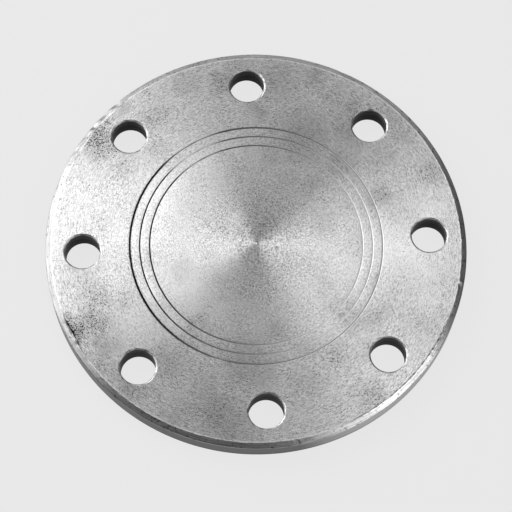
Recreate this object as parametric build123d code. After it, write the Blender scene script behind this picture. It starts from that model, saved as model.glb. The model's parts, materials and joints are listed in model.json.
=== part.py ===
from build123d import *
from math import radians, tan
import os

# A plate blind flange: one steel disc that closes the end of a flanged pipe. It is turned all
# over, faced flat, grooved for its gasket and drilled for its bolts.
# Lengths are millimetres. +Z points out of the sealing face, and the origin is the middle of the
# flat back, which the flange lies on. The first bolt hole is on +X.

# Bolting
BOLT_CIRCLE_DIAMETER = 178.0
BOLT_COUNT = 8
BOLT_HOLE_DIAMETER = 18.0      # clears a 16 mm bolt
HOLE_MOUTH_WIDTH = 0.8         # eased edge at the sealing face, outwards from the hole's wall
HOLE_MOUTH_DEPTH = 0.5         # the same edge, down the hole
HOLE_BACK_BREAK = 0.5          # eased edge where the drill came out at the back

# Disc
THICKNESS = 12.7
RIM_WALL = 10.0                # metal between a bolt hole and the rim
RIM_CHAMFER_WIDTH = 2.8        # inwards from the rim, across the sealing face
RIM_CHAMFER_DEPTH = 1.1        # down the rim
RIM_BACK_BREAK = 0.5           # eased edge between the rim and the back

# Gasket grooves, counted inwards from the bolt holes
GROOVE_COUNT = 3
GROOVE_PITCH = 5.1             # radial step from one groove to the next
HOLE_TO_GROOVE = 15.2          # from a bolt hole's wall to the middle of the outer groove
OUTER_GROOVE_WIDTH = 1.0       # the outer groove is cut a little heavier than the others
INNER_GROOVE_WIDTH = 0.8
GROOVE_ANGLE = 100.0           # included angle of the tool's nose

bolt_circle_radius = BOLT_CIRCLE_DIAMETER / 2
hole_radius = BOLT_HOLE_DIAMETER / 2
outer_radius = bolt_circle_radius + hole_radius + RIM_WALL
outer_groove_radius = bolt_circle_radius - hole_radius - HOLE_TO_GROOVE


def turned_solid(outline):
    """Spin a closed outline of (radius, height) points round the Z axis."""
    section = make_face(Plane.XZ * Polyline(*outline, close=True))
    return revolve(section, Axis.Z)


def groove_outline(middle, width):
    """The three corners that one V groove adds to the sealing face, from its outer lip inwards."""
    depth = width / 2 / tan(radians(GROOVE_ANGLE / 2))
    return [
        (middle + width / 2, THICKNESS),
        (middle, THICKNESS - depth),
        (middle - width / 2, THICKNESS),
    ]


def disc():
    """The turned blank: flat back, rim, wide flat chamfer and grooved sealing face."""
    outline = [
        (0, 0),
        (outer_radius - RIM_BACK_BREAK, 0),
        (outer_radius, RIM_BACK_BREAK),
        (outer_radius, THICKNESS - RIM_CHAMFER_DEPTH),
        (outer_radius - RIM_CHAMFER_WIDTH, THICKNESS),
    ]
    for index in range(GROOVE_COUNT):
        width = OUTER_GROOVE_WIDTH if index == 0 else INNER_GROOVE_WIDTH
        outline += groove_outline(outer_groove_radius - index * GROOVE_PITCH, width)
    outline.append((0, THICKNESS))
    return turned_solid(outline)


def bolt_hole():
    """The metal that one bolt hole removes: a straight bore that opens out at both mouths."""
    return turned_solid([
        (0, 0),
        (hole_radius + HOLE_BACK_BREAK, 0),
        (hole_radius, HOLE_BACK_BREAK),
        (hole_radius, THICKNESS - HOLE_MOUTH_DEPTH),
        (hole_radius + HOLE_MOUTH_WIDTH, THICKNESS),
        (0, THICKNESS),
    ])


blind_flange = disc() - PolarLocations(bolt_circle_radius, BOLT_COUNT) * bolt_hole()
blind_flange.label = "blind_flange"

os.makedirs("parts", exist_ok=True)
export_step(blind_flange, "parts/blind_flange.step")
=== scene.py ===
# %% [markdown]
# # A blind flange in bare turned steel
#
# A blind flange closes the end of a pipe. This one is a single disc of steel: a lathe faced it
# flat, cut its grooves and its chamfer, and a drill made the ring of bolt holes. The engineering
# model already fixes every size. This lesson gives that model a finer skin, with soft edges,
# nicks, tool marks and grime, and lights it as a small studio would.
#
# The first cell loads the engineering model. It stays where it is, and the new skin takes its
# sizes from it.

import json
from math import cos, pi, radians, sin, tan

import bmesh
import bpy
import numpy as np
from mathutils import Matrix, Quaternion, Vector


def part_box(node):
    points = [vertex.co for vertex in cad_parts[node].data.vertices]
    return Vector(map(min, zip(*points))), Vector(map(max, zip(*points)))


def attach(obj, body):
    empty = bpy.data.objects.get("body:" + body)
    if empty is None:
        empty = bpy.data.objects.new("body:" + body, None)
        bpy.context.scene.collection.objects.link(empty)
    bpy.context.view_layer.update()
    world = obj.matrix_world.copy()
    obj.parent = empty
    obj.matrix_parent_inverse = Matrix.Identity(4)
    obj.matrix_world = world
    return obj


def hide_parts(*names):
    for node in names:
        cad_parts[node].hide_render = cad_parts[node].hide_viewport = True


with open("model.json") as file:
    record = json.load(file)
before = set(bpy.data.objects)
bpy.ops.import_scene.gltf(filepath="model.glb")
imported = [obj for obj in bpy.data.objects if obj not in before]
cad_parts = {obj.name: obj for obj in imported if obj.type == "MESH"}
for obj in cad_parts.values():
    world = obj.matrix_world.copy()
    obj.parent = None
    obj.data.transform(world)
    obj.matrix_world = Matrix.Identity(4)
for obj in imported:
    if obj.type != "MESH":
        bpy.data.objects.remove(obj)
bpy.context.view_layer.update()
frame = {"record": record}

# %% [markdown]
# ## Sizes
#
# The outside of the disc and its thickness come from the engineering model's box, and the bolt
# holes from its list of mounts. The chamfer and the grooves have no entry there, so their sizes
# are repeated here. All lengths are millimetres, the unit a lathe hand uses, until the mesh is
# written.

# %% Sizes
MM = 0.001

bolts = {mount["name"]: mount for mount in frame["record"]["mounts"]}["bolt_holes"]["dims"]
BOLT_COUNT = bolts["count"]
BOLT_CIRCLE_RADIUS = bolts["pcd_mm"] / 2
HOLE_RADIUS = bolts["hole_r_mm"]

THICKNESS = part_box("blind_flange")[1].z / MM
OUTER_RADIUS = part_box("blind_flange")[1].x / MM

CHAMFER_WIDTH = 2.8
CHAMFER_DEPTH = 1.1
MOUTH_WIDTH = 0.8
MOUTH_DEPTH = 0.5
BACK_BREAK = 0.5
GROOVE_RADII = (54.6, 59.7, 64.8)
GROOVE_WIDTHS = (0.8, 0.8, 1.0)
GROOVE_HALF_ANGLE = radians(50)
print("disc", OUTER_RADIUS * 2, "mm across,", THICKNESS, "mm thick,", BOLT_COUNT, "holes")

# %% [markdown]
# ## A section with soft corners
#
# No real edge is perfectly sharp. A tool leaves a radius of a tenth or two of a millimetre, wear
# makes it larger, and that narrow band is what catches the light and draws a bright line round
# the part. A bevel modifier could add it, but on a turned part it is simpler to put it in the
# section: each corner gets its radius there, and the lathe's motion carries it round.

# %% Rounded section
CORNER_STEPS = 3


def softened(corners):
    """A polyline through corners (a, b, radius), with a short curve in place of each corner.

    A corner C starts its curve at S and ends it at E, both at radius * tan(turn / 2) from C.
    The curve is the parabola (1-t)^2 S + 2t(1-t) C + t^2 E, as good as an arc at this size.
    """
    points = np.array([corner[:2] for corner in corners], float)
    made = [points[:1]]
    for index in range(1, len(points) - 1):
        corner = points[index]
        back, ahead = points[index - 1] - corner, points[index + 1] - corner
        back, ahead = back / np.linalg.norm(back), ahead / np.linalg.norm(ahead)
        turn = pi - np.arccos(np.clip(back @ ahead, -1, 1))
        reach = corners[index][2] * tan(turn / 2)
        t = np.linspace(0, 1, CORNER_STEPS + 1)[:, None] if reach > 0 else np.zeros((1, 1))
        start, end = corner + back * reach, corner + ahead * reach
        made.append((1 - t) ** 2 * start + 2 * t * (1 - t) * corner + t**2 * end)
    made.append(points[-1:])
    return np.concatenate(made)


print("points in place of a corner:", CORNER_STEPS + 1)


# %% [markdown]
# ## Grids
#
# The skin is a set of grids that meet edge to edge. A turned grid is a section spun round the
# axis. The flat band that holds the bolt holes can't be spun, so each hole gets a fan of rings
# that starts as a circle at the hole's mouth and ends on the outline of its own share of the
# band. A bored grid is a section spun round one hole's axis.
#
# The rim gets twice as many steps as the rest, because its nicks are small and it makes the
# outline. A strip of triangles joins the two.

# %% Grid helpers
STEPS_PER_HOLE = 64
SIDE_STEPS = 20
FULL_TURN_STEPS = STEPS_PER_HOLE * BOLT_COUNT
HALF_SHARE = pi / BOLT_COUNT
BAND_INNER_RADIUS = 74.0
BAND_OUTER_RADIUS = 103.2
APRON_RADIUS = HOLE_RADIUS + MOUTH_WIDTH + 0.5


def grid_faces(rows, columns):
    """The four-sided faces of a grid that is stored row by row and closed sideways.

    The vertex in a row and a column has the number row * columns + column.
    """
    row, column = np.meshgrid(np.arange(rows - 1), np.arange(columns), indexing="ij")
    here, right = row * columns + column, row * columns + (column + 1) % columns
    return np.stack([here, right, right + columns, here + columns], -1).reshape(-1, 4)


def turned_grid(section, steps):
    """A section of (radius, height) rows spun round Z: x = r cos(a), y = r sin(a), z = h."""
    angle = np.arange(steps) * 2 * pi / steps
    radius, height = section[:, :1], section[:, 1:]
    grid = np.broadcast_arrays(radius * np.cos(angle), radius * np.sin(angle), height)
    return np.stack(grid, -1).reshape(-1, 3), grid_faces(len(section), steps)


def strip_to_double(coarse_radius, fine_radius, height):
    """A flat strip from a ring of n points to one of 2n points, three triangles a step."""
    count = FULL_TURN_STEPS
    coarse = turned_grid(np.array([[coarse_radius, height]]), count)[0]
    fine = turned_grid(np.array([[fine_radius, height]]), count * 2)[0]
    here, ahead = np.arange(count), (np.arange(count) + 1) % count
    left, middle, right = count + 2 * here, count + 2 * here + 1, count + 2 * ahead
    triangles = [(here, left, middle), (here, middle, ahead), (ahead, middle, right)]
    return np.concatenate([coarse, fine]), np.concatenate([np.stack(t, -1) for t in triangles])


def share_outline():
    """Radius and angle of each point round one hole's share of the band, anticlockwise.

    It goes out along one side, across the outer arc, back along the other side and across the
    inner arc, always in equal steps.
    """
    out = np.linspace(BAND_INNER_RADIUS, BAND_OUTER_RADIUS, SIDE_STEPS, endpoint=False)
    back = np.linspace(BAND_OUTER_RADIUS, BAND_INNER_RADIUS, SIDE_STEPS, endpoint=False)
    across = np.linspace(-HALF_SHARE, HALF_SHARE, STEPS_PER_HOLE, endpoint=False)
    radius = [out, across * 0 + BAND_OUTER_RADIUS, back, across * 0 + BAND_INNER_RADIUS]
    angle = [out * 0 - HALF_SHARE, across, back * 0 + HALF_SHARE, -across]
    return np.concatenate(radius), np.concatenate(angle)


print("steps in a full turn:", FULL_TURN_STEPS)


# %% Hole grids
RING_CROWDING = 1.5

outline_radius, outline_angle = share_outline()
outline_x = outline_radius * np.cos(outline_angle)
outline_y = outline_radius * np.sin(outline_angle)
OUTLINE_STEPS = len(outline_radius)

corner_steps = np.cumsum([0, SIDE_STEPS, STEPS_PER_HOLE, SIDE_STEPS])
corner_turns = np.unwrap(np.arctan2(outline_y, outline_x - BOLT_CIRCLE_RADIUS))[corner_steps]
hole_angles = np.interp(
    np.arange(OUTLINE_STEPS),
    np.append(corner_steps, OUTLINE_STEPS),
    np.append(corner_turns, corner_turns[0] + 2 * pi),
)


def fan_grid(apron_radius, height, rings):
    """Rings from a circle round the hole to the outline: P = (1 - v) circle + v outline.

    v runs as a power of the ring's number, so that the rings crowd near the hole.
    """
    v = (np.linspace(0, 1, rings) ** RING_CROWDING)[:, None]
    x = (1 - v) * (BOLT_CIRCLE_RADIUS + apron_radius * np.cos(hole_angles)) + v * outline_x
    y = (1 - v) * apron_radius * np.sin(hole_angles) + v * outline_y
    return np.stack([x, y, x * 0 + height], -1).reshape(-1, 3), grid_faces(rings, OUTLINE_STEPS)


def bored_grid(section):
    """A section of (radius, height) rows spun round the axis of the hole on +X.

    x = bolt circle radius + r cos(a), y = r sin(a), z = h.
    """
    radius, height = section[:, :1], section[:, 1:]
    x = BOLT_CIRCLE_RADIUS + radius * np.cos(hole_angles)
    grid = np.broadcast_arrays(x, radius * np.sin(hole_angles), height)
    return np.stack(grid, -1).reshape(-1, 3), grid_faces(len(section), OUTLINE_STEPS)


def at_every_hole(points, faces):
    """Copies of a patch for the hole on +X, turned to each bolt hole in the circle.

    Turned by a: x' = x cos(a) - y sin(a), y' = x sin(a) + y cos(a).
    """
    turns = np.arange(BOLT_COUNT) * 2 * pi / BOLT_COUNT
    x, y, z = points.T
    placed = [
        np.stack([x * cos(a) - y * sin(a), x * sin(a) + y * cos(a), z], -1) for a in turns
    ]
    shifted = [faces + index * len(points) for index in range(BOLT_COUNT)]
    return np.concatenate(placed), np.concatenate(shifted)


print("outline of a hole's share:", OUTLINE_STEPS, "points")

# %% [markdown]
# ## Sections of the flange
#
# Facing starts at the rim and ends at the axis, where the tool leaves a small pip in a shallow
# hollow. Each groove is a V with its lips slightly rolled. At the rim the chamfer is wide and
# shallow, and the edges at the back are only eased.

# %% Face section
AXIS_RING = 0.02
PIP_RADIUS = 1.7
PIP_DEPTH = 0.07
PIP_ROWS = 9
PLAIN_RADII = (5.0, 14.0, 30.0, 46.0)
LIP_RADIUS = 0.5
NOSE_RADIUS = 0.08


def face_section():
    """From the axis to the bolt band: a pip, plain face, and the V grooves.

    The pip stands in a ring-shaped hollow, height = -depth * sin^2(pi * radius / pip radius).
    """
    radius = np.linspace(AXIS_RING, PIP_RADIUS, PIP_ROWS)
    height = THICKNESS - PIP_DEPTH * np.sin(pi * radius / PIP_RADIUS) ** 2
    corners = [(r, h, 0) for r, h in zip(radius, height)]
    corners += [(r, THICKNESS, 0) for r in PLAIN_RADII]
    for middle, width in zip(GROOVE_RADII, GROOVE_WIDTHS):
        depth = width / 2 / tan(GROOVE_HALF_ANGLE)
        corners.append((middle - width / 2, THICKNESS, LIP_RADIUS))
        corners.append((middle, THICKNESS - depth, NOSE_RADIUS))
        corners.append((middle + width / 2, THICKNESS, LIP_RADIUS))
    corners.append((BAND_INNER_RADIUS, THICKNESS, 0))
    return softened(corners)


print("rows across the face:", len(face_section()))

# %% Rim section
STRIP_WIDTH = 0.7
RIM_START_RADIUS = BAND_OUTER_RADIUS + STRIP_WIDTH
EDGE_RADIUS = 1.0
SHOULDER_RADIUS = 0.3
BACK_EDGE_RADIUS = 0.2
EDGE_ROW_GAP = 0.35
EDGE_SUPPORT = 1.0
CHAMFER_ROW_SHARES = (0.25, 0.5, 0.75)

chamfer_inner = OUTER_RADIUS - CHAMFER_WIDTH
chamfer_foot = THICKNESS - CHAMFER_DEPTH

flat_rows = [
    (RIM_START_RADIUS, THICKNESS, 0),
    (chamfer_inner - 2 * EDGE_ROW_GAP, THICKNESS, 0),
    (chamfer_inner - EDGE_ROW_GAP, THICKNESS, 0),
    (chamfer_inner, THICKNESS, EDGE_RADIUS),
]
chamfer_rows = [
    (chamfer_inner + CHAMFER_WIDTH * share, THICKNESS - CHAMFER_DEPTH * share, 0)
    for share in CHAMFER_ROW_SHARES
]
wall_rows = [
    (OUTER_RADIUS, chamfer_foot, SHOULDER_RADIUS),
    (OUTER_RADIUS, chamfer_foot - EDGE_SUPPORT, 0),
    (OUTER_RADIUS, THICKNESS / 2, 0),
    (OUTER_RADIUS, BACK_BREAK + EDGE_SUPPORT, 0),
    (OUTER_RADIUS, BACK_BREAK, BACK_EDGE_RADIUS),
    (OUTER_RADIUS - BACK_BREAK, 0, BACK_EDGE_RADIUS),
    (RIM_START_RADIUS, 0, 0),
]
rim_section = softened(flat_rows + chamfer_rows + wall_rows)
print("rows round the rim:", len(rim_section))

# %% Bore section
MOUTH_EDGE_RADIUS = 0.4
BORE_EDGE_RADIUS = 0.2

bore_section = softened([
    (APRON_RADIUS, THICKNESS, 0),
    (HOLE_RADIUS + MOUTH_WIDTH, THICKNESS, MOUTH_EDGE_RADIUS),
    (HOLE_RADIUS, THICKNESS - MOUTH_DEPTH, BORE_EDGE_RADIUS),
    (HOLE_RADIUS, THICKNESS - MOUTH_DEPTH - EDGE_SUPPORT, 0),
    (HOLE_RADIUS, THICKNESS / 2, 0),
    (HOLE_RADIUS, BACK_BREAK, BORE_EDGE_RADIUS),
    (HOLE_RADIUS + BACK_BREAK, 0, BORE_EDGE_RADIUS),
    (APRON_RADIUS, 0, 0),
])
print("rows down a bore:", len(bore_section))

# %% [markdown]
# ## Sewing the skin
#
# Every grid belongs to a zone of the real part that has a finish of its own: the face, the rim,
# the bores or the back. The zone becomes the material number of the grid's faces. A section that
# starts on the flat, such as the rim's, gives its first rows to the face and its last to the back.
#
# The grids share no points yet. Points that coincide are merged, the two small rings round the
# axis are closed, and all faces are turned outwards. This is what joins made by hand would do,
# but it is one step for the whole skin.

# %% Grids of the whole skin
FACE, RIM, BORE, BACK = range(4)
FLAT_ROWS = 3
FAN_RINGS = 10
BACK_FAN_RINGS = 4
BACK_RADII = (AXIS_RING, 6.0, 25.0, 50.0, BAND_INNER_RADIUS)


def split_rows(section, first, last):
    """A section cut into its flat start, its middle and its flat end, which share their ends."""
    return section[:first], section[first - 1:len(section) - last + 1], section[-last:]


back_section = np.array([[radius, 0] for radius in BACK_RADII])
rim_parts = split_rows(rim_section, FLAT_ROWS + CORNER_STEPS, 2)
bore_parts = split_rows(bore_section, FLAT_ROWS, FLAT_ROWS)

patches = [
    (turned_grid(face_section(), FULL_TURN_STEPS), FACE),
    (at_every_hole(*fan_grid(APRON_RADIUS, THICKNESS, FAN_RINGS)), FACE),
    (strip_to_double(BAND_OUTER_RADIUS, RIM_START_RADIUS, THICKNESS), FACE),
    (strip_to_double(BAND_OUTER_RADIUS, RIM_START_RADIUS, 0), BACK),
    (at_every_hole(*fan_grid(APRON_RADIUS, 0, BACK_FAN_RINGS)), BACK),
    (turned_grid(back_section, FULL_TURN_STEPS), BACK),
]
patches += [
    (turned_grid(part, FULL_TURN_STEPS * 2), zone)
    for part, zone in zip(rim_parts, (FACE, RIM, BACK))
]
patches += [
    (at_every_hole(*bored_grid(part)), zone)
    for part, zone in zip(bore_parts, (FACE, BORE, BACK))
]
print("grids:", len(patches))


# %% Sew them together
MERGE_DISTANCE = 0.002


def sewn(patches, name):
    """One closed mesh from many patches, in millimetres."""
    mesh = bpy.data.meshes.new(name)
    starts = np.cumsum([0] + [len(points) for (points, _), _ in patches])
    faces = [f for ((_, faces), _), start in zip(patches, starts) for f in (faces + start).tolist()]
    zones = np.concatenate([np.full(len(faces), zone) for (_, faces), zone in patches])
    mesh.from_pydata(np.concatenate([points for (points, _), _ in patches]), [], faces)
    mesh.polygons.foreach_set("material_index", zones.astype(np.int32))
    work = bmesh.new()
    work.from_mesh(mesh)
    bmesh.ops.remove_doubles(work, verts=work.verts, dist=MERGE_DISTANCE)
    open_edges = [edge for edge in work.edges if edge.is_boundary]
    bmesh.ops.holes_fill(work, edges=open_edges, sides=0)
    bmesh.ops.recalc_face_normals(work, faces=work.faces)
    print("open edges left:", sum(edge.is_boundary for edge in work.edges))
    work.to_mesh(mesh)
    work.free()
    return mesh


skin = sewn(patches, "flange_skin")
skin.calc_loop_triangles()
print("skin:", len(skin.vertices), "points,", len(skin.loop_triangles), "triangles")

# %% [markdown]
# ## Knocks and uneven edges
#
# A flange is dropped, stacked and rolled on its rim, so its sharp edges are the first to be
# bruised. The worst bruises can be seen in the outline, so they are moved points and not a bump
# pattern. Each knock is a soft dent: its depth falls off as a bell curve along the edge and
# across it. The edges also wander a little all the way round, which a few added cosines give.

# %% Knocks
EDGE_WANDER = 0.05
WANDER_REACH = 0.6
TOP_REACH = 2.0
KNOCK_SLANT = 0.7
WANDER_WAVES = ((23, 0.4), (57, 1.9), (91, 3.1), (141, 5.2), (203, 0.7))

# Azimuth in degrees, radius of the edge, length along it, reach across it and depth, in
# millimetres.
KNOCKS = (
    (130.5, 107.6, 2.2, 1.0, 0.45),
    (135.0, 107.8, 3.6, 1.2, 0.55),
    (139.5, 107.6, 1.6, 1.4, 0.60),
    (143.5, 107.8, 2.6, 1.0, 0.45),
    (148.5, 107.8, 1.8, 0.9, 0.40),
    (160.0, 107.9, 1.4, 0.8, 0.30),
    (-15.0, 105.6, 1.2, 0.9, 0.50),
    (-5.5, 105.4, 0.9, 0.5, 0.22),
    (-158.0, 105.0, 1.6, 0.6, 0.30),
    (-155.5, 104.8, 2.2, 0.8, 0.38),
    (-152.0, 105.1, 1.2, 0.6, 0.30),
    (-81.0, 104.6, 0.9, 0.5, 0.25),
    (-91.6, 104.4, 1.0, 0.4, 0.20),
    (-49.0, 106.2, 0.9, 0.5, 0.15),
    (62.0, 107.8, 1.2, 0.7, 0.30),
    (-118.0, 107.9, 1.3, 0.8, 0.25),
)


def knocked(points):
    """Points moved down and inwards by every knock, and sideways where the chamfer's edge wanders.

    Knock: depth * exp(-(arc / length)^2 - (radial distance / reach)^2), for points near the top.
    Wander: sum of cos(waves * azimuth + phase), strongest at the chamfer's inner edge.
    """
    radius = np.hypot(points[:, 0], points[:, 1])
    azimuth = np.arctan2(points[:, 1], points[:, 0])
    outwards = points[:, :2] / radius[:, None]
    near_top = np.exp(-((THICKNESS - points[:, 2]) / TOP_REACH) ** 2)
    moved = points.copy()
    waves = sum(np.cos(count * azimuth + phase) for count, phase in WANDER_WAVES)
    near_edge = np.exp(-((radius - chamfer_inner) / WANDER_REACH) ** 2)
    wander = EDGE_WANDER * waves * near_top * near_edge
    moved[:, :2] += outwards * wander[:, None]
    for degrees, edge, length, reach, depth in KNOCKS:
        arc = edge * ((azimuth - radians(degrees) + pi) % (2 * pi) - pi)
        dent = depth * near_top * np.exp(-(arc / length) ** 2 - ((radius - edge) / reach) ** 2)
        moved[:, :2] -= outwards * dent[:, None] * KNOCK_SLANT
        moved[:, 2] -= dent * KNOCK_SLANT
    return moved


points = np.empty(len(skin.vertices) * 3, np.float32)
skin.vertices.foreach_get("co", points)
points = points.reshape(-1, 3)
worn_points = knocked(points)
print("deepest knock:", round(float(np.abs(worn_points - points).max()), 2), "mm")

# %% [markdown]
# ## Putting it in place
#
# The mesh goes from millimetres to metres, and every face is smooth-shaded, because the edges
# are real curves. The new skin then stands for the engineering model's disc.

# %% Place the skin
skin.vertices.foreach_set("co", (worn_points * MM).astype(np.float32).ravel())
skin.polygons.foreach_set("use_smooth", np.ones(len(skin.polygons), bool))
skin.update()

flange = bpy.data.objects.new("turned_flange", skin)
bpy.context.scene.collection.objects.link(flange)
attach(flange, "root")
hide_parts("blind_flange")
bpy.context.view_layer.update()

# %% [markdown]
# ## Tools for materials
#
# A material is a small network of nodes. Two helpers are enough to write one: a colour in the
# usual web notation has to be made linear before the renderer can calculate with it, and one
# function adds a node and plugs in its values.

# %% Colour and node helpers
def linear(hex_colour):
    """An sRGB hex colour as the linear colour that the sockets take, by the standard curve.

    Linear = ((share + 0.055) / 1.055)^2.4, or share / 12.92 where the share is very small.
    """
    share = np.array([int(hex_colour[i:i + 2], 16) for i in (0, 2, 4)]) / 255
    value = np.where(share <= 0.04045, share / 12.92, ((share + 0.055) / 1.055) ** 2.4)
    return (*value.tolist(), 1.0)


def add(tree, kind, inputs=None, **settings):
    """Add a node, set its properties, and fill its inputs with values, sockets or nodes.

    Some nodes keep hidden twins of a socket for other data types, so only enabled ones count.
    """
    made = tree.nodes.new(kind)
    for name, value in settings.items():
        setattr(made, name, value)
    enabled = [socket for socket in made.inputs if socket.enabled]
    named = {socket.name: socket for socket in reversed(enabled)}
    for name, value in (inputs or {}).items():
        socket = named[name] if isinstance(name, str) else enabled[name]
        if isinstance(value, bpy.types.Node):
            value = next(output for output in value.outputs if output.enabled)
        if isinstance(value, bpy.types.NodeSocket):
            tree.links.new(value, socket)
        else:
            socket.default_value = value
    return made


def empty_material(name):
    """A material whose node tree is cleared, and the tree."""
    material = bpy.data.materials.new(name)
    material.use_nodes = True
    material.node_tree.nodes.clear()
    return material, material.node_tree


print("half-way grey is", round(linear("808080")[0], 2), "in linear light")


# %% [markdown]
# ## Turned steel
#
# The tool leaves a spiral groove about 0.2 mm wide. Its hundreds of turns act like the grooves of
# a record: they spread a highlight across themselves and hardly along themselves, and that is why
# a turned disc shows a bright bow tie that starts at the centre. The shader has this built in as
# anisotropy. It only has to be told the direction of the spread, which is the way outwards from
# the axis, and the bow tie then starts at the centre whatever the view.
#
# All four steels of the skin start this way, so they share the first nodes. Places are turned to
# millimetres, so that every pattern's size can be read as a real one.

# %% Start of a turned steel
def start_turned(name):
    """A material with its tree, its place in millimetres, its distance from the axis, and the
    way outwards."""
    material, tree = empty_material(name)
    metres = add(tree, "ShaderNodeTexCoord").outputs["Object"]
    place = add(tree, "ShaderNodeVectorMath", {0: metres, "Scale": 1 / MM}, operation="SCALE")
    flat = add(tree, "ShaderNodeVectorMath", {0: place, 1: (1, 1, 0)}, operation="MULTIPLY")
    radius = add(tree, "ShaderNodeVectorMath", {0: flat}, operation="LENGTH")
    outwards = add(tree, "ShaderNodeVectorMath", {0: flat}, operation="NORMALIZE")
    return material, tree, place, radius, outwards


def tool_marks(tree, across, outwards, pitch, streaks, detail):
    """Noise drawn out along the circles: it changes every pitch millimetres of the distance
    across them, and about 6 * streaks times on the way round."""
    step = add(tree, "ShaderNodeMath", {0: across, 1: 1 / pitch}, operation="MULTIPLY")
    stepped = add(tree, "ShaderNodeCombineXYZ", {"Z": step})
    way = add(
        tree, "ShaderNodeVectorMath", {0: outwards, 1: (streaks, streaks, 1), 2: stepped},
        operation="MULTIPLY_ADD",
    )
    return add(tree, "ShaderNodeTexNoise", {"Vector": way, "Scale": 1.0, "Detail": detail})


# %% [markdown]
# ## The face: grain and tool marks
#
# Facing leaves fine tracks round the disc, and the torn metal between them gives a grain. Near
# the middle the surface speed of the work falls to nothing, so the tool tears more than it cuts,
# and short ridges take the place of the grain. Real tracks are about 0.2 mm apart, less than half
# a pixel of the picture, so they are drawn at 0.5 mm, and the grain at 0.42 mm. The pattern is
# mixed into the colour, because at this size bump alone would be smoothed away.

# %% Face grain
STEEL_LIGHT = "E4E4E4"
STEEL_DARK = "7C7C7C"
GRAIN_SIZE = 0.42
TRACK_PITCH = 0.5
TRACK_STREAKS = 44

face_steel, tree, place, radius, outwards = start_turned("faced_mild_steel")
grain = add(tree, "ShaderNodeTexNoise", {"Vector": place, "Scale": 1 / GRAIN_SIZE, "Detail": 0.5})
tracks = tool_marks(tree, radius, outwards, TRACK_PITCH, TRACK_STREAKS, detail=1.5)
print("track every", TRACK_PITCH, "mm")

# %% Torn middle
RIDGE_PITCH = 0.6
RIDGE_STREAKS = 6
RIDGE_RADII = (4.0, 22.0)

ridges = tool_marks(tree, radius, outwards, RIDGE_PITCH, RIDGE_STREAKS, detail=1.0)
ridged = add(
    tree, "ShaderNodeMapRange", {0: radius, 1: RIDGE_RADII[0], 2: RIDGE_RADII[1], 3: 1.0, 4: 0.0},
)
torn = add(tree, "ShaderNodeMix", {"Factor": ridged, "A": grain, "B": ridges})
marks = add(tree, "ShaderNodeMath", {0: torn, 1: tracks}, operation="ADD")
centred = add(tree, "ShaderNodeMath", {0: marks, 1: 1.0}, operation="SUBTRACT")
print("ridges end at radius", RIDGE_RADII[1], "mm")

# %% How strong the grain is
TORN_RADIUS = (5.0, 34.0)
GRAIN_CONTRAST = (8.0, 1.8)
PATCH_SIZE = 9.0
PATCH_SPREAD = (0.35, 0.65)
PATCH_GRAIN = (0.7, 1.3)

contrast = add(
    tree, "ShaderNodeMapRange",
    {0: radius, 1: TORN_RADIUS[0], 2: TORN_RADIUS[1], 3: GRAIN_CONTRAST[0], 4: GRAIN_CONTRAST[1]},
)
patch = add(tree, "ShaderNodeTexNoise", {"Vector": place, "Scale": 1 / PATCH_SIZE, "Detail": 2.0})
patchy = add(
    tree, "ShaderNodeMapRange",
    {0: patch, 1: PATCH_SPREAD[0], 2: PATCH_SPREAD[1], 3: PATCH_GRAIN[0], 4: PATCH_GRAIN[1]},
)
strength = add(tree, "ShaderNodeMath", {0: contrast, 1: patchy}, operation="MULTIPLY")
print("grain fades from", GRAIN_CONTRAST[0], "to", GRAIN_CONTRAST[1])

# %% Bare face colour
# The middle is nearer to light than to dark, so most of the steel is clean and the specks are dark.
GRAIN_MIDDLE = 0.72

face_grain = add(
    tree, "ShaderNodeMath", {0: centred, 1: strength, 2: GRAIN_MIDDLE}, operation="MULTIPLY_ADD",
    use_clamp=True,
)
face_colour = add(
    tree, "ShaderNodeMix",
    {"Factor": face_grain, "A": linear(STEEL_DARK), "B": linear(STEEL_LIGHT)}, data_type="RGBA",
)
print("steel between", STEEL_DARK, "and", STEEL_LIGHT)

# %% [markdown]
# ## The face: rubbed, dulled and stained steel, with painted sheen and shade
#
# Bare steel keeps a record of fingers, oil and damp. Some patches are made brighter and some
# darker. The bright ones lie along the lobes of the bow tie and are partly rubbed steel and partly
# painted sheen. The dark ones lie mostly across its dark sides and are partly dull steel and partly
# painted shade. The stains gather round the bolt holes and on the side that was handled. A noise
# would put them anywhere, so they are listed one by one: each is a soft disc with a radius and a
# strength.
# A slow noise pushes their outlines about, and a quicker one breaks the stains into mottle, as
# thin rust and dried oil do.

# %% Places pushed about
DRIFT = 7.0
DRIFT_SIZE = 9.0
NOISE_MIDDLE = (0.5, 0.5, 0.5)

drift = add(tree, "ShaderNodeTexNoise", {"Vector": place, "Scale": 1 / DRIFT_SIZE, "Detail": 2.0})
sideways = add(
    tree, "ShaderNodeVectorMath", {0: drift.outputs["Color"], 1: NOISE_MIDDLE},
    operation="SUBTRACT",
)
drifted = add(
    tree, "ShaderNodeVectorMath", {0: sideways, 1: (DRIFT * 2, DRIFT * 2, 0), 2: place},
    operation="MULTIPLY_ADD",
)
print("outlines drift by up to", DRIFT, "mm")


# %% Soft spots
SPOT_REACH = 1.25


def soft_spots(tree, place, spots):
    """The strongest of many soft discs on the face, each (x, y, radius, strength)."""
    strongest = 0.0
    for x, y, size, strength in spots:
        away = add(
            tree, "ShaderNodeVectorMath", {0: place, 1: (x, y, THICKNESS)}, operation="DISTANCE",
        )
        spot = add(
            tree, "ShaderNodeMapRange",
            {0: away, 1: 0.0, 2: size * SPOT_REACH, 3: strength, 4: 0.0},
            interpolation_type="SMOOTHSTEP",
        )
        strongest = add(tree, "ShaderNodeMath", {0: strongest, 1: spot}, operation="MAXIMUM")
    return strongest


print("a spot of radius 10 mm fades out at", 10 * SPOT_REACH, "mm")
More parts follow.
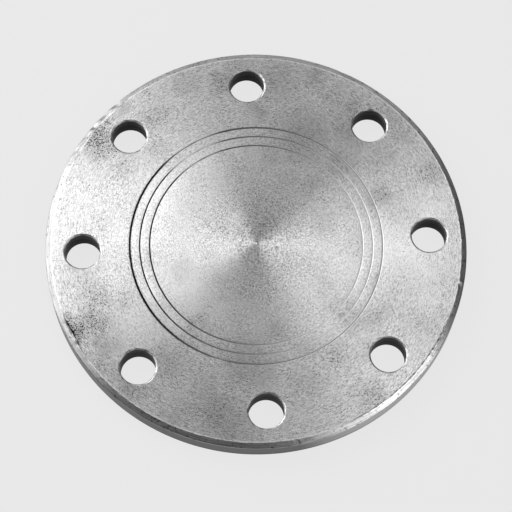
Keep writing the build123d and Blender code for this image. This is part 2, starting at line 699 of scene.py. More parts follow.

# %% Rubbed patches and painted sheen
# Here and in the lists below: place x and y and radius in millimetres, and strength.
RUBBED_AND_SHEEN_PATCHES = (
    (-16, -11, 14, 1.0), (-34, -24, 22, 1.3), (-58, -38, 24, 0.7), (-66, 8, 11, 0.4),
    (2, -12, 6, 0.4), (-9, 16, 7, 0.5), (-44, -40, 10, 1.2), (-54, -25, 9, 1.2),
    (78, -10, 26, 1.0), (90, 14, 14, 0.7), (48, -17, 16, 0.6), (84, -33, 14, 0.6),
    (-25, 47, 14, 0.6), (-48, 32, 17, 0.9), (-11, 56, 8, 0.5),
)
# These patches lie along the bright lobes of the bow tie: partly rubbed steel, partly painted
# sheen.
RUBBED_AND_SHEEN_COLOUR = "FFFFFF"
RUBBED_AND_SHEEN_SHARE = 0.42
print("rubbed patches:", len(RUBBED_AND_SHEEN_PATCHES))

# %% Dulled patches and painted shade
DULLED_AND_SHADE_PATCHES = (
    (28, 58, 24, 1.0), (52, 60, 16, 0.9), (16, 92, 20, 0.7), (-5, 98, 12, 0.6),
    (46, 80, 10, 0.5), (46, 42, 14, 0.9), (66, 46, 12, 0.5), (81, 55, 8, 0.5),
    (-32, 92, 10, 0.5), (-20, -97, 22, 0.9), (-8, -64, 18, 1.0), (8, -48, 10, 0.6),
    (-30, -76, 11, 0.5), (-45, -91, 12, 0.6), (-90, -8, 16, 0.8), (-71, -66, 10, 0.5),
    (48, -44, 12, 0.6), (57, -59, 10, 0.7), (36, 8, 9, 0.5), (20, 36, 10, 0.4),
    (62, 20, 12, 0.6), (34, 33, 9, 0.6), (10, 49, 9, 0.6), (6, 74, 8, 0.9),
    (36, 93, 9, 0.9), (-65, 58, 8, 0.9), (-66, 79, 6, 0.9), (-79, -50, 8, 0.9),
    (-40, -11, 9, 0.6), (-52, -4, 8, 0.5), (-58, -66, 8, 0.5), (-38, -86, 10, 0.6),
    (21, -57, 8, 0.6), (52, -62, 8, 0.5), (36, -36, 9, 0.5),
)
# These patches lie mostly across the dark sides of the bow tie: partly dull steel, partly painted
# shade.
DULLED_AND_SHADE_COLOUR = "5E5E5E"
DULLED_AND_SHADE_SHARE = 0.38
print("dulled patches:", len(DULLED_AND_SHADE_PATCHES))

# %% Both kinds of patch on the steel
for patches_of_kind, colour, share in (
    (RUBBED_AND_SHEEN_PATCHES, RUBBED_AND_SHEEN_COLOUR, RUBBED_AND_SHEEN_SHARE),
    (DULLED_AND_SHADE_PATCHES, DULLED_AND_SHADE_COLOUR, DULLED_AND_SHADE_SHARE),
):
    strongest = soft_spots(tree, drifted, patches_of_kind)
    strongest_share = add(tree, "ShaderNodeMath", {0: strongest, 1: share}, operation="MULTIPLY")
    face_colour = add(
        tree, "ShaderNodeMix",
        {"Factor": strongest_share, "A": face_colour, "B": linear(colour)}, data_type="RGBA",
    )
print("nodes so far:", len(tree.nodes))

# %% Mottle
MOTTLE_SIZE = 1.4
MOTTLE_SPREAD = (0.38, 0.62)
MOTTLE_LEVELS = (0.25, 1.0)

mottle = add(
    tree, "ShaderNodeTexNoise",
    {"Vector": place, "Scale": 1 / MOTTLE_SIZE, "Detail": 4.0, "Roughness": 0.7},
)
broken = add(
    tree, "ShaderNodeMapRange",
    {0: mottle, 1: MOTTLE_SPREAD[0], 2: MOTTLE_SPREAD[1], 3: MOTTLE_LEVELS[0], 4: MOTTLE_LEVELS[1]},
)
print("mottle of", MOTTLE_SIZE, "mm")

# %% Stains
STAINS = (
    (-80, 62, 14, 1.2), (-68, 46, 9, 0.5), (-50, 72, 12, 0.6), (-49, 57, 9, 0.5),
    (-94, -43, 11, 1.3), (-84, -37, 12, 1.0), (-82, -25, 11, 0.8), (-68, -28, 8, 0.6),
    (96, 36, 10, 0.7), (36, -62, 12, 0.6), (59, -42, 10, 0.6), (53, -84, 11, 0.8),
    (49, -6, 8, 0.3), (66, 24, 8, 0.6), (56, 75, 8, 0.6), (72, 66, 12, 0.5),
    (-80, 15, 9, 0.4), (-47, -61, 12, 0.4), (-76, 72, 9, 0.9), (-84, -60, 9, 0.6),
    (-26, -86, 10, 0.5), (-14, 90, 8, 0.6), (28, 27, 7, 0.3), (-33, -41, 6, 0.4),
    (32, -25, 6, 0.3), (-66, -73, 9, 0.6), (44, -41, 9, 0.5), (22, -74, 12, 0.4),
    (72, -22, 16, 0.35), (92, -22, 12, 0.35), (74, 8, 10, 0.3), (80, -45, 12, 0.35),
)
STAIN_COLOUR = "5E5E5E"
STAIN_SHARE = 0.46

stained = soft_spots(tree, drifted, STAINS)
stain = add(tree, "ShaderNodeMath", {0: stained, 1: broken}, operation="MULTIPLY")
stain_share = add(tree, "ShaderNodeMath", {0: stain, 1: STAIN_SHARE}, operation="MULTIPLY")
face_colour = add(
    tree, "ShaderNodeMix",
    {"Factor": stain_share, "A": face_colour, "B": linear(STAIN_COLOUR)}, data_type="RGBA",
)
print("stains:", len(STAINS))

# %% [markdown]
# ## The face: pits
#
# Rust eats small pits into bare steel. They are the highest peaks of a fine noise, cut off at a
# level, which gives separate dark specks of uneven size. Where the metal is stained the noise is
# raised, so the pits crowd there.

# %% Pits
PIT_SIZE = 0.8
PIT_LEVEL = (0.69, 0.76)
PIT_CROWDING = 0.16
PIT_AND_SHADE_COLOUR = "404040"

fine = add(tree, "ShaderNodeTexNoise", {"Vector": place, "Scale": 1 / PIT_SIZE, "Detail": 1.0})
crowded = add(
    tree, "ShaderNodeMath", {0: stained, 1: PIT_CROWDING, 2: fine}, operation="MULTIPLY_ADD",
)
pits = add(tree, "ShaderNodeMapRange", {0: crowded, 1: PIT_LEVEL[0], 2: PIT_LEVEL[1]})
face_colour = add(
    tree, "ShaderNodeMix",
    {"Factor": pits, "A": face_colour, "B": linear(PIT_AND_SHADE_COLOUR)}, data_type="RGBA",
)
print("pits of about", PIT_SIZE, "mm")

# %% [markdown]
# ## The face: painted dark and painted shade in the grooves
#
# The grooves are painted dark. The network finds a groove by depth: whatever lies below the face is
# groove. The dark is thick on the left and gone on the right, where the flanks of the V are painted
# near white as a painted highlight, and in a few places on the left it is left out. The very bottom
# of the V is painted dark all round as painted shade, and on the left some dirt is smeared over the
# face beside the outer groove. One helper tells how far a place lies on a given side of the disc.


# %% Which side of the disc
def on_side(tree, outwards, azimuth, spread):
    """How far a place lies on the side at an azimuth in degrees.

    It is the cosine of the angle between the way outwards and that side, stretched so that the
    first number of spread becomes 0 and the second becomes 1.
    """
    side = (cos(radians(azimuth)), sin(radians(azimuth)), 0)
    cosine = add(tree, "ShaderNodeVectorMath", {0: outwards, 1: side}, operation="DOT_PRODUCT")
    return add(tree, "ShaderNodeMapRange", {0: cosine, 1: spread[0], 2: spread[1]})


print("cosines of 10, 30 and 60 degrees:", [round(cos(radians(a)), 2) for a in (10, 30, 60)])


# %% Where the grooves are
GROOVE_START = 0.01
GROOVE_FULL = 0.09

height = add(tree, "ShaderNodeSeparateXYZ", {0: place}).outputs["Z"]
sunk = add(
    tree, "ShaderNodeMapRange",
    {0: height, 1: THICKNESS - GROOVE_START, 2: THICKNESS - GROOVE_FULL},
)
off_pip = add(tree, "ShaderNodeMath", {0: radius, 1: PIP_RADIUS}, operation="GREATER_THAN")
in_groove = add(tree, "ShaderNodeMath", {0: sunk, 1: off_pip}, operation="MULTIPLY")
print("groove from", GROOVE_START, "mm below the face")

# %% How dark the grooves are painted
GROOVE_DARK_AZIMUTH = 165
GROOVE_DARK_SPREAD = (-0.5, 0.7)
LIGHTER_STRETCHES = (
    (-24, 57, 11, 1.0), (-33, 51, 11, 1.0), (-38, 46, 8, 0.8), (14, -62, 9, 0.6),
    (-22, -61, 5, 1.0),
)
# The bottom of the V is darkened all round as painted shade.
DEEP_SHADE_DEPTHS = (0.23, 0.34)
DEEP_SHADE_AMOUNT = 0.85

groove_dark_side = on_side(tree, outwards, GROOVE_DARK_AZIMUTH, GROOVE_DARK_SPREAD)
lighter_stretches = soft_spots(tree, place, LIGHTER_STRETCHES)
kept = add(tree, "ShaderNodeMath", {0: 1.0, 1: lighter_stretches}, operation="SUBTRACT", use_clamp=True)
groove_dark_left = add(tree, "ShaderNodeMath", {0: groove_dark_side, 1: kept}, operation="MULTIPLY")
deep_painted_shade = add(
    tree, "ShaderNodeMapRange",
    {0: height, 1: THICKNESS - DEEP_SHADE_DEPTHS[0], 2: THICKNESS - DEEP_SHADE_DEPTHS[1], 4: DEEP_SHADE_AMOUNT},
)
groove_dark_and_shade = add(tree, "ShaderNodeMath", {0: groove_dark_left, 1: deep_painted_shade}, operation="MAXIMUM")
# These are stretches on the left where the groove is painted less dark.
print("stretches where the grime fell out:", len(LIGHTER_STRETCHES))

# %% Groove colour
DIRT_AND_SHADE_COLOUR = "141414"
# The flanks on the right are painted near white as a painted highlight.
PAINTED_HIGHLIGHT_COLOUR = "F4F4F4"

groove_colour = add(
    tree, "ShaderNodeMix",
    {"Factor": groove_dark_and_shade, "A": linear(PAINTED_HIGHLIGHT_COLOUR), "B": linear(DIRT_AND_SHADE_COLOUR)}, data_type="RGBA",
)
face_colour = add(
    tree, "ShaderNodeMix",
    {"Factor": in_groove, "A": face_colour, "B": groove_colour}, data_type="RGBA",
)
print("grooves between", PAINTED_HIGHLIGHT_COLOUR, "and", DIRT_AND_SHADE_COLOUR)

# %% Smear beside the outer groove
SMEAR_AZIMUTH = 182
SMEAR_SPREAD = (0.60, 0.74)
SMEAR_REACH = (0.5, 1.1)
SMEAR_SHARE = 0.8

from_groove = add(tree, "ShaderNodeMath", {0: radius, 1: max(GROOVE_RADII)}, operation="SUBTRACT")
beside = add(tree, "ShaderNodeMath", {0: from_groove}, operation="ABSOLUTE")
near_groove = add(
    tree, "ShaderNodeMapRange",
    {0: beside, 1: SMEAR_REACH[0], 2: SMEAR_REACH[1], 3: SMEAR_SHARE, 4: 0.0},
)
smear_side = on_side(tree, outwards, SMEAR_AZIMUTH, SMEAR_SPREAD)
smear = add(tree, "ShaderNodeMath", {0: near_groove, 1: smear_side}, operation="MULTIPLY")
ragged_smear = add(tree, "ShaderNodeMath", {0: smear, 1: broken}, operation="MULTIPLY")
face_colour = add(
    tree, "ShaderNodeMix",
    {"Factor": ragged_smear, "A": face_colour, "B": linear(DIRT_AND_SHADE_COLOUR)}, data_type="RGBA",
)
print("smear up to", SMEAR_REACH[1], "mm from the outer groove")

# %% [markdown]
# ## The face: pip and worn edge, with painted highlights and shade
#
# Two small things catch the eye. The pip in the middle gets a painted highlight on its tip and
# painted shade in one side of its hollow. Where the face meets the chamfer, a thin bright line is
# painted, partly wear from handling and partly a painted highlight of the rounded edge. At the
# lower right the line is painted dark instead as painted shade, and in a few short stretches on the
# left it is filled with dirt.

# %% Pip
PIP_HIGHLIGHT_RADII = (0.35, 0.7)
PIP_SHADE_AZIMUTH = 15
PIP_SHADE_SPREAD = (-0.3, 0.5)

# Painted shade in one side of the pip's hollow, and a painted highlight on its tip.
in_hollow = add(tree, "ShaderNodeMath", {0: sunk, 1: in_groove}, operation="SUBTRACT")
pip_shade_side = on_side(tree, outwards, PIP_SHADE_AZIMUTH, PIP_SHADE_SPREAD)
pip_painted_shade = add(tree, "ShaderNodeMath", {0: in_hollow, 1: pip_shade_side}, operation="MULTIPLY")
face_colour = add(
    tree, "ShaderNodeMix",
    {"Factor": pip_painted_shade, "A": face_colour, "B": linear(PIT_AND_SHADE_COLOUR)}, data_type="RGBA",
)
pip_highlight = add(
    tree, "ShaderNodeMapRange", {0: radius, 1: PIP_HIGHLIGHT_RADII[0], 2: PIP_HIGHLIGHT_RADII[1], 3: 1.0, 4: 0.0},
)
face_colour = add(
    tree, "ShaderNodeMix",
    {"Factor": pip_highlight, "A": face_colour, "B": linear(PAINTED_HIGHLIGHT_COLOUR)}, data_type="RGBA",
)
print("bright tip", 2 * PIP_HIGHLIGHT_RADII[1], "mm across")

# %% Dirt and painted shade on the edge
EDGE_SHADE_AZIMUTH = -46
EDGE_SHADE_SPREAD = (0.90, 0.96)
EDGE_DIRT = (
    (-91, -53, 7, 1.0), (-99, -37, 7, 1.0), (-67, 81, 4, 0.9), (-80, 68, 5, 0.9),
    (-91, 53, 4, 0.8),
)

# At the lower right the edge is painted dark as painted shade; the listed spots on the left are
# dirt.
edge_shade_side = on_side(tree, outwards, EDGE_SHADE_AZIMUTH, EDGE_SHADE_SPREAD)
dirt_spots = soft_spots(tree, place, EDGE_DIRT)
edge_dirt_and_shade = add(tree, "ShaderNodeMath", {0: edge_shade_side, 1: dirt_spots}, operation="MAXIMUM")
print("stretches of dirt on the edge:", 1 + len(EDGE_DIRT))

# %% Worn edge with painted highlight
WORN_AND_HIGHLIGHT_RADII = (104.3, 105.1)
WORN_AND_HIGHLIGHT_COLOUR = "FAFAFA"

edge_colour = add(
    tree, "ShaderNodeMix",
    {"Factor": edge_dirt_and_shade, "A": linear(WORN_AND_HIGHLIGHT_COLOUR), "B": linear(DIRT_AND_SHADE_COLOUR)}, data_type="RGBA",
)
# The bright line is partly wear and partly a painted highlight of the rounded edge.
worn_and_highlight = add(
    tree, "ShaderNodeMapRange", {0: radius, 1: WORN_AND_HIGHLIGHT_RADII[0], 2: WORN_AND_HIGHLIGHT_RADII[1]},
    interpolation_type="SMOOTHSTEP",
)
worn_and_highlight_share = add(tree, "ShaderNodeMath", {0: worn_and_highlight, 1: broken}, operation="MULTIPLY")
face_colour = add(
    tree, "ShaderNodeMix",
    {"Factor": worn_and_highlight_share, "A": face_colour, "B": edge_colour}, data_type="RGBA",
)
print("worn line from radius", WORN_AND_HIGHLIGHT_RADII[0], "mm")

# %% [markdown]
# ## The face: shader
#
# Steel is a metal, so its colour goes into its reflection and it has no other. Its roughness is
# rather high for a machined surface, with a little more at the torn centre, in the stains and in
# the grooves, so the highlights lose their strength there. The tool's tracks are ramps rather than
# even ridges, and their flanks lean outwards, which makes the lobe of the bow tie on the lamp's
# side the brighter one. A very low bump gives the grain its sparkle.

# %% Face roughness
FACE_ROUGHNESS = 0.40
CENTRE_ROUGHNESS = 0.50
CENTRE_SPREAD = (6.0, 48.0)
STAIN_ROUGHNESS = 0.10
GROOVE_ROUGHNESS = 0.25

by_radius = add(
    tree, "ShaderNodeMapRange",
    {0: radius, 1: CENTRE_SPREAD[0], 2: CENTRE_SPREAD[1], 3: CENTRE_ROUGHNESS, 4: FACE_ROUGHNESS},
)
with_stain = add(
    tree, "ShaderNodeMath", {0: stain, 1: STAIN_ROUGHNESS, 2: by_radius}, operation="MULTIPLY_ADD",
)
roughness = add(
    tree, "ShaderNodeMath", {0: in_groove, 1: GROOVE_ROUGHNESS, 2: with_stain},
    operation="MULTIPLY_ADD",
)
print("roughness", CENTRE_ROUGHNESS, "in the middle,", FACE_ROUGHNESS, "outside")

# %% Leaning flanks
FLANK_LEAN = 0.009
LEAN_RADIUS = (3.0, 45.0)

lean = add(
    tree, "ShaderNodeMapRange",
    {0: radius, 1: LEAN_RADIUS[0], 2: LEAN_RADIUS[1], 3: 0.0, 4: FLANK_LEAN},
)
upright = add(tree, "ShaderNodeNewGeometry").outputs["Normal"]
leaning = add(
    tree, "ShaderNodeVectorMath", {0: outwards, 1: lean, 2: upright}, operation="MULTIPLY_ADD",
)
flank = add(tree, "ShaderNodeVectorMath", {0: leaning}, operation="NORMALIZE")
print("slope of the flanks:", FLANK_LEAN)


# %% Closing a steel
def close_steel(material, tree, sockets):
    """End a network with its shader, and put the material in the skin's next slot."""
    steel = add(tree, "ShaderNodeBsdfPrincipled", sockets)
    add(tree, "ShaderNodeOutputMaterial", {"Surface": steel})
    skin.materials.append(material)
    print(material.name, "has", len(tree.nodes), "nodes")


# %% Face shader
FACE_ANISOTROPY = 0.9
GRAIN_HEIGHT = 0.025

bumps = add(
    tree, "ShaderNodeBump",
    {"Height": marks, "Distance": GRAIN_HEIGHT * MM, "Strength": 1.0, "Normal": flank},
)
close_steel(face_steel, tree, {
    "Base Color": face_colour, "Metallic": 1.0, "Roughness": roughness, "Normal": bumps,
    "Anisotropic": FACE_ANISOTROPY, "Tangent": outwards,
})

# %% [markdown]
# ## The rim and its chamfer
#
# The rim was turned in another cut, and then handled and stored on end. The marks run round it, so
# their noise is drawn out a long way. The chamfer is bright, apart from a dull side and a few dark
# flecks. The wall below it is duller, with a painted highlight on a stretch at the lower right and
# painted shade towards the surface it stands on. Seen at a very low angle, old steel doesn't turn
# white as a clean metal does, and the specular tint of the wall holds that edge colour down.

# %% Chamfer colour
CHAMFER_LIGHT = "DEDEDE"
CHAMFER_DARK = "A8A8A8"
RIM_PITCH = 0.45
RIM_STREAKS = 9
RIM_MARK_SPREAD = (0.35, 0.65)

rim_steel, tree, place, radius, outwards = start_turned("turned_rim_steel")
height = add(tree, "ShaderNodeSeparateXYZ", {0: place}).outputs["Z"]
across = add(tree, "ShaderNodeMath", {0: radius, 1: height}, operation="SUBTRACT")
rim_marks = tool_marks(tree, across, outwards, RIM_PITCH, RIM_STREAKS, detail=2.0)
marked = add(
    tree, "ShaderNodeMapRange", {0: rim_marks, 1: RIM_MARK_SPREAD[0], 2: RIM_MARK_SPREAD[1]},
)
rim_colour = add(
    tree, "ShaderNodeMix",
    {"Factor": marked, "A": linear(CHAMFER_DARK), "B": linear(CHAMFER_LIGHT)}, data_type="RGBA",
)
print("chamfer between", CHAMFER_DARK, "and", CHAMFER_LIGHT)

# %% Dull side of the chamfer
DULL_COLOUR = "404040"
DULL_AZIMUTH = 180
DULL_SPREAD = (0.5, 1.0)
DULL_SHARE = 0.65

dull_side = on_side(tree, outwards, DULL_AZIMUTH, DULL_SPREAD)
dull = add(tree, "ShaderNodeMath", {0: dull_side, 1: DULL_SHARE}, operation="MULTIPLY")
rim_colour = add(
    tree, "ShaderNodeMix",
    {"Factor": dull, "A": rim_colour, "B": linear(DULL_COLOUR)}, data_type="RGBA",
)
print("chamfer dullest at", DULL_AZIMUTH, "degrees")

# %% Flecks
FLECK_SIZE = 1.6
FLECK_LEVEL = (0.59, 0.67)
FLECK_SHARE = 0.6
FLECK_AND_SHADE_COLOUR = "383838"

flecks = add(
    tree, "ShaderNodeTexNoise", {"Vector": place, "Scale": 1 / FLECK_SIZE, "Detail": 3.0},
)
fleck_share = add(
    tree, "ShaderNodeMapRange",
    {0: flecks, 1: FLECK_LEVEL[0], 2: FLECK_LEVEL[1], 3: 0.0, 4: FLECK_SHARE},
)
rim_colour = add(
    tree, "ShaderNodeMix",
    {"Factor": fleck_share, "A": rim_colour, "B": linear(FLECK_AND_SHADE_COLOUR)}, data_type="RGBA",
)
print("flecks of about", FLECK_SIZE, "mm")

# %% Wall colour
WALL_DULL = "7C7C7C"
WALL_HIGHLIGHT_COLOUR = "E0E0E0"
WALL_HIGHLIGHT_AZIMUTH = -53
WALL_HIGHLIGHT_SPREAD = (0.88, 0.99)
WALL_FADE = 0.6

# The stretch at the lower right is painted lighter as a painted highlight.
wall_highlight = on_side(tree, outwards, WALL_HIGHLIGHT_AZIMUTH, WALL_HIGHLIGHT_SPREAD)
wall_colour = add(
    tree, "ShaderNodeMix",
    {"Factor": wall_highlight, "A": linear(WALL_DULL), "B": linear(WALL_HIGHLIGHT_COLOUR)}, data_type="RGBA",
)
on_wall = add(
    tree, "ShaderNodeMapRange", {0: height, 1: chamfer_foot, 2: chamfer_foot - WALL_FADE},
    interpolation_type="SMOOTHSTEP",
)
rim_colour = add(
    tree, "ShaderNodeMix",
    {"Factor": on_wall, "A": rim_colour, "B": wall_colour}, data_type="RGBA",
)
print("wall cleanest at", WALL_HIGHLIGHT_AZIMUTH, "degrees")

# %% Painted shade at the foot
FOOT_SHADE_HEIGHTS = (2.6, 0.6)

# The foot of the wall is painted dark as painted shade next to the floor.
foot_painted_shade = add(
    tree, "ShaderNodeMapRange", {0: height, 1: FOOT_SHADE_HEIGHTS[0], 2: FOOT_SHADE_HEIGHTS[1]},
    interpolation_type="SMOOTHSTEP",
)
rim_colour = add(
    tree, "ShaderNodeMix",
    {"Factor": foot_painted_shade, "A": rim_colour, "B": linear(FLECK_AND_SHADE_COLOUR)}, data_type="RGBA",
)
print("dirt up to", FOOT_SHADE_HEIGHTS[0], "mm")

# %% Rim shader
RIM_ROUGHNESS = 0.28
RIM_ANISOTROPY = 0.4
WALL_GLANCE = "BCBCBC"

glance = add(
    tree, "ShaderNodeMix",
    {"Factor": on_wall, "A": linear("FFFFFF"), "B": linear(WALL_GLANCE)}, data_type="RGBA",
)
close_steel(rim_steel, tree, {
    "Base Color": rim_colour, "Metallic": 1.0, "Roughness": RIM_ROUGHNESS,
    "Specular Tint": glance, "Anisotropic": RIM_ANISOTROPY, "Tangent": outwards,
})

# %% [markdown]
# ## The bores
#
# A drill leaves a rougher wall than a lathe tool, and nobody wipes it: it is nearly black with
# oxide and oil. Its colour is painted darker deep down, partly that oxide and partly painted shade,
# and lighter near the face, partly where rags get in and partly painted light. Such a coat is no
# metal, so only the eased edge at the mouth, which bolts rub, has a metal's shine. The bands of the
# drill's feed lie flat round the bore, so this noise is squeezed along Z, and so are the fine lines
# on the mouth.

# %% Bore walls
BORE_DARK = "0C0C0C"
BORE_LIGHT = "808080"
BORE_BAND = 0.8
BORE_SPREAD = 6.0
BAND_SPREAD = (0.4, 0.65)
BAND_LEVELS = (0.3, 1.0)
RISE_HEIGHTS = (6.0, 13.0)

bore_steel, tree, place, radius, outwards = start_turned("drilled_oily_steel")
height = add(tree, "ShaderNodeSeparateXYZ", {0: place}).outputs["Z"]
squeezed = add(
    tree, "ShaderNodeVectorMath",
    {0: place, 1: (1 / BORE_SPREAD, 1 / BORE_SPREAD, 1 / BORE_BAND)}, operation="MULTIPLY",
)
bands = add(tree, "ShaderNodeTexNoise", {"Vector": squeezed, "Scale": 1.0, "Detail": 2.0})
banded = add(
    tree, "ShaderNodeMapRange",
    {0: bands, 1: BAND_SPREAD[0], 2: BAND_SPREAD[1], 3: BAND_LEVELS[0], 4: BAND_LEVELS[1]},
)
# Darker deep in the bore and lighter near the face: partly oxide and rubbing, partly painted shade
# and painted light.
rise = add(tree, "ShaderNodeMapRange", {0: height, 1: RISE_HEIGHTS[0], 2: RISE_HEIGHTS[1]})
lit = add(tree, "ShaderNodeMath", {0: rise, 1: banded}, operation="MULTIPLY")
wall_colour = add(
    tree, "ShaderNodeMix",
    {"Factor": lit, "A": linear(BORE_DARK), "B": linear(BORE_LIGHT)}, data_type="RGBA",
)
print("bands of", BORE_BAND, "mm down the bore")

# %% Mouths of the bores
MOUTH_DARK = "8A8A8A"
MOUTH_LIGHT = "DCDCDC"
MOUTH_STREAK = 3.0
MOUTH_LINE = 0.2
MOUTH_SPREAD = (0.42, 0.55)
MOUTH_FADE = (0.3, 0.1)

drawn = add(
    tree, "ShaderNodeVectorMath",
    {0: place, 1: (1 / MOUTH_STREAK, 1 / MOUTH_STREAK, 1 / MOUTH_LINE)}, operation="MULTIPLY",
)
lines = add(tree, "ShaderNodeTexNoise", {"Vector": drawn, "Scale": 1.0, "Detail": 1.0})
lined = add(tree, "ShaderNodeMapRange", {0: lines, 1: MOUTH_SPREAD[0], 2: MOUTH_SPREAD[1]})
mouth_colour = add(
    tree, "ShaderNodeMix",
    {"Factor": lined, "A": linear(MOUTH_DARK), "B": linear(MOUTH_LIGHT)}, data_type="RGBA",
)
mouth_foot = THICKNESS - MOUTH_DEPTH
at_mouth = add(
    tree, "ShaderNodeMapRange",
    {0: height, 1: mouth_foot - MOUTH_FADE[0], 2: mouth_foot + MOUTH_FADE[1]},
)
print("mouths from", mouth_foot, "mm up")

# %% Bore shader
BORE_ROUGHNESS = 0.5
BORE_SHINE = 0.04

bore_colour = add(
    tree, "ShaderNodeMix",
    {"Factor": at_mouth, "A": wall_colour, "B": mouth_colour}, data_type="RGBA",
)
close_steel(bore_steel, tree, {
    "Base Color": bore_colour, "Metallic": at_mouth, "Roughness": BORE_ROUGHNESS,
    "Specular IOR Level": BORE_SHINE,
})

# %% [markdown]
# ## The back
#
# The back can't be seen in the photograph. On such a flange it is faced like the front and then
# left alone, so it gets the same tracks, in a plainer colour, without pits, stains or grooves.

# %% Back steel
BACK_LIGHT = "D2D2D2"
BACK_DARK = "9A9A9A"
BACK_SPREAD = (0.3, 0.7)

back_steel, tree, place, radius, outwards = start_turned("faced_back_steel")
tracks = tool_marks(tree, radius, outwards, TRACK_PITCH, TRACK_STREAKS, detail=1.5)
marked = add(tree, "ShaderNodeMapRange", {0: tracks, 1: BACK_SPREAD[0], 2: BACK_SPREAD[1]})
back_colour = add(
    tree, "ShaderNodeMix",
    {"Factor": marked, "A": linear(BACK_DARK), "B": linear(BACK_LIGHT)}, data_type="RGBA",
)
close_steel(back_steel, tree, {
    "Base Color": back_colour, "Metallic": 1.0, "Roughness": FACE_ROUGHNESS,
    "Anisotropic": FACE_ANISOTROPY, "Tangent": outwards,
})

# %% [markdown]
# ## The floor
#
# The flange lies on a plain pale sheet, as in a product photograph. The camera, and the steel that
# mirrors the sheet, see it as a flat pale grey, and only a small share of it is lit, which keeps
# a soft shadow. Seen from below the sheet is clear, so the back of the flange can be looked at
# too. It lies a hair under the flange, because two surfaces in one plane flicker.

# %% Floor
# Half of the sheet's side in metres, and its drop in millimetres.
FLOOR_HALF = 8.0
FLOOR_DROP = 0.2
FLOOR_COLOUR = "F0F0F0"
BACKDROP_COLOUR = "E9E9E9"
SHOWN_SHARE = 0.94

corners = np.array([(-1, -1, 0), (1, -1, 0), (1, 1, 0), (-1, 1, 0)]) * FLOOR_HALF
floor_mesh = bpy.data.meshes.new("floor")
floor_mesh.from_pydata((corners - (0, 0, FLOOR_DROP * MM)).tolist(), [], [(0, 1, 2, 3)])
floor = bpy.data.objects.new("floor", floor_mesh)
bpy.context.scene.collection.objects.link(floor)
print("floor:", 2 * FLOOR_HALF, "m square")

# %% Pale floor sheet
floor_material, tree = empty_material("pale_floor")
ray = add(tree, "ShaderNodeLightPath").outputs
plain = add(tree, "ShaderNodeBsdfDiffuse", {"Color": linear(FLOOR_COLOUR)})
glow = add(tree, "ShaderNodeEmission", {"Color": linear(BACKDROP_COLOUR), "Strength": 1.0})
clear = add(tree, "ShaderNodeBsdfTransparent")
seen = add(
    tree, "ShaderNodeMath", {0: ray["Is Camera Ray"], 1: ray["Is Glossy Ray"]}, operation="MAXIMUM",
)
shown = add(
    tree, "ShaderNodeMath", {0: seen, 1: ray["Is Transmission Ray"]}, operation="MAXIMUM",
)
share = add(tree, "ShaderNodeMath", {0: shown, 1: SHOWN_SHARE}, operation="MULTIPLY")
above = add(tree, "ShaderNodeMixShader", {0: share, 1: plain, 2: glow})
underneath = add(tree, "ShaderNodeNewGeometry").outputs["Backfacing"]
sheet = add(tree, "ShaderNodeMixShader", {0: underneath, 1: above, 2: clear})
add(tree, "ShaderNodeOutputMaterial", {"Surface": sheet})
floor_mesh.materials.append(floor_material)
print("floor sheet:", len(tree.nodes), "nodes")

# %% [markdown]
# ## The room
#
# A metal shows what is round it, so the room is part of its look. This one is dim, with three
# wide soft panels: one overhead, which the flat face mirrors, one behind and one behind on the
# left. Each panel is a direction in the sky whose glow fades from one angle to another. Below the
# horizon the room is as pale as the floor, and the camera sees that pale colour everywhere.

# %% World
AMBIENT = 0.07
HORIZON_FADE = 0.02
# Direction, half-angles where the panel is full and where it ends, and strength.
PANELS = (
    ((0.0, 0.30, 0.95), 10, 40, 0.72),
    ((0.0, 0.92, 0.38), 15, 50, 0.38),
    ((-0.6, 0.7, 0.4), 8, 32, 0.36),
)

world = bpy.data.worlds.new("studio")
bpy.context.scene.world = world
world.use_nodes = True
tree = world.node_tree
tree.nodes.clear()
pale = linear(BACKDROP_COLOUR)[0]
direction = add(tree, "ShaderNodeTexCoord").outputs["Generated"]
level = AMBIENT
for panel, full, end, strength in PANELS:
    towards = Vector(panel).normalized()
    cosine = add(tree, "ShaderNodeVectorMath", {0: direction, 1: towards}, operation="DOT_PRODUCT")
    panel_glow = add(
        tree, "ShaderNodeMapRange",
        {0: cosine, 1: cos(radians(end)), 2: cos(radians(full)), 3: 0.0, 4: strength},
        interpolation_type="SMOOTHSTEP",
    )
    level = add(tree, "ShaderNodeMath", {0: level, 1: panel_glow}, operation="ADD")
up = add(tree, "ShaderNodeSeparateXYZ", {0: direction}).outputs["Z"]
low = add(tree, "ShaderNodeMapRange", {0: up, 1: 0.0, 2: -HORIZON_FADE, 3: 0.0, 4: pale})
lit = add(tree, "ShaderNodeMath", {0: level, 1: low}, operation="MAXIMUM")
to_camera = add(tree, "ShaderNodeLightPath").outputs["Is Camera Ray"]
sky_level = add(tree, "ShaderNodeMix", {"Factor": to_camera, "A": lit, "B": pale})
sky = add(tree, "ShaderNodeBackground", {"Color": (1, 1, 1, 1), "Strength": sky_level})
add(tree, "ShaderNodeOutputWorld", {"Surface": sky})
print("panels in the sky:", len(PANELS))

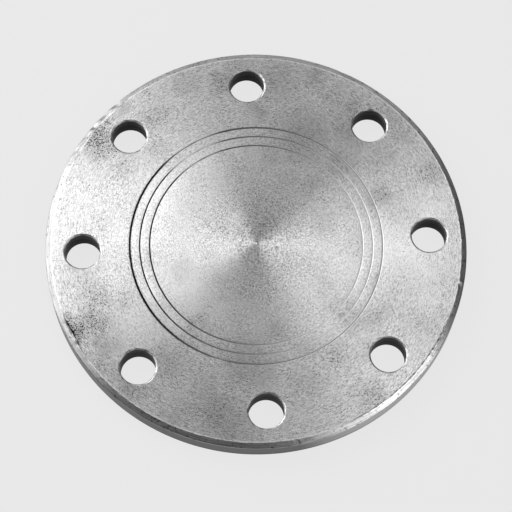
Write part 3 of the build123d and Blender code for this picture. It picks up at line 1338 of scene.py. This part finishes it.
# %% [markdown]
# ## The lamps
#
# The bow tie on a turned face is the picture of a lamp, drawn out by the grooves. It points at
# the lamp, and its width is the lamp's. Here a large softbox stands on the left and a smaller one
# on the right. Each has a brighter core, as a real softbox has, so the bow tie fades at its sides.

# %% Lamps
# Name, direction from the flange, distance and side in metres, and power in watts.
SOFTBOXES = (
    ("left_softbox", (-0.70, 0.40, 0.58), 0.95, 1.1, 5.9),
    ("left_core", (-0.74, 0.38, 0.58), 0.95, 0.6, 3.0),
    ("right_softbox", (0.58, -0.45, 0.68), 1.0, 0.7, 1.6),
    ("right_core", (0.53, -0.25, 0.81), 1.0, 0.35, 0.65),
)

for name, direction, distance, side, power in SOFTBOXES:
    lamp = bpy.data.lights.new(name, "AREA")
    lamp.size = side
    lamp.energy = power
    holder = bpy.data.objects.new(name, lamp)
    away = Vector(direction).normalized()
    holder.location = away * distance
    holder.rotation_mode = "QUATERNION"
    holder.rotation_quaternion = away.to_track_quat("Z", "Y")
    bpy.context.scene.collection.objects.link(holder)
print("softboxes:", len(SOFTBOXES))

# %% [markdown]
# ## The camera
#
# The photograph looks down on the flange from the front, a little from the left, through a long
# lens. The place was found by fitting circles of known size, such as the rim and the bolt holes,
# to their outlines in the photograph.

# %% Camera
LENS = 135.0
SENSOR = 36.0
AIM = Vector((-0.59, -6.91, THICKNESS)) * MM
SIGHT_AZIMUTH = radians(-95.69)
SIGHT_ELEVATION = radians(69.56)
SIGHT_DISTANCE = 981.2 * MM
ROLL = radians(2.63)

level_part = cos(SIGHT_ELEVATION)
back = Vector((
    cos(SIGHT_AZIMUTH) * level_part,
    sin(SIGHT_AZIMUTH) * level_part,
    sin(SIGHT_ELEVATION),
))
camera_data = bpy.data.cameras.new("camera")
camera_data.lens = LENS
camera_data.sensor_width = SENSOR
camera = bpy.data.objects.new("camera", camera_data)
camera.location = AIM + back * SIGHT_DISTANCE
camera.rotation_mode = "QUATERNION"
camera.rotation_quaternion = back.to_track_quat("Z", "Y") @ Quaternion((0, 0, 1), ROLL)
bpy.context.scene.collection.objects.link(camera)
bpy.context.scene.camera = camera
bpy.context.scene.view_settings.view_transform = "Standard"
print("camera at", [round(value, 3) for value in camera.location], "m")
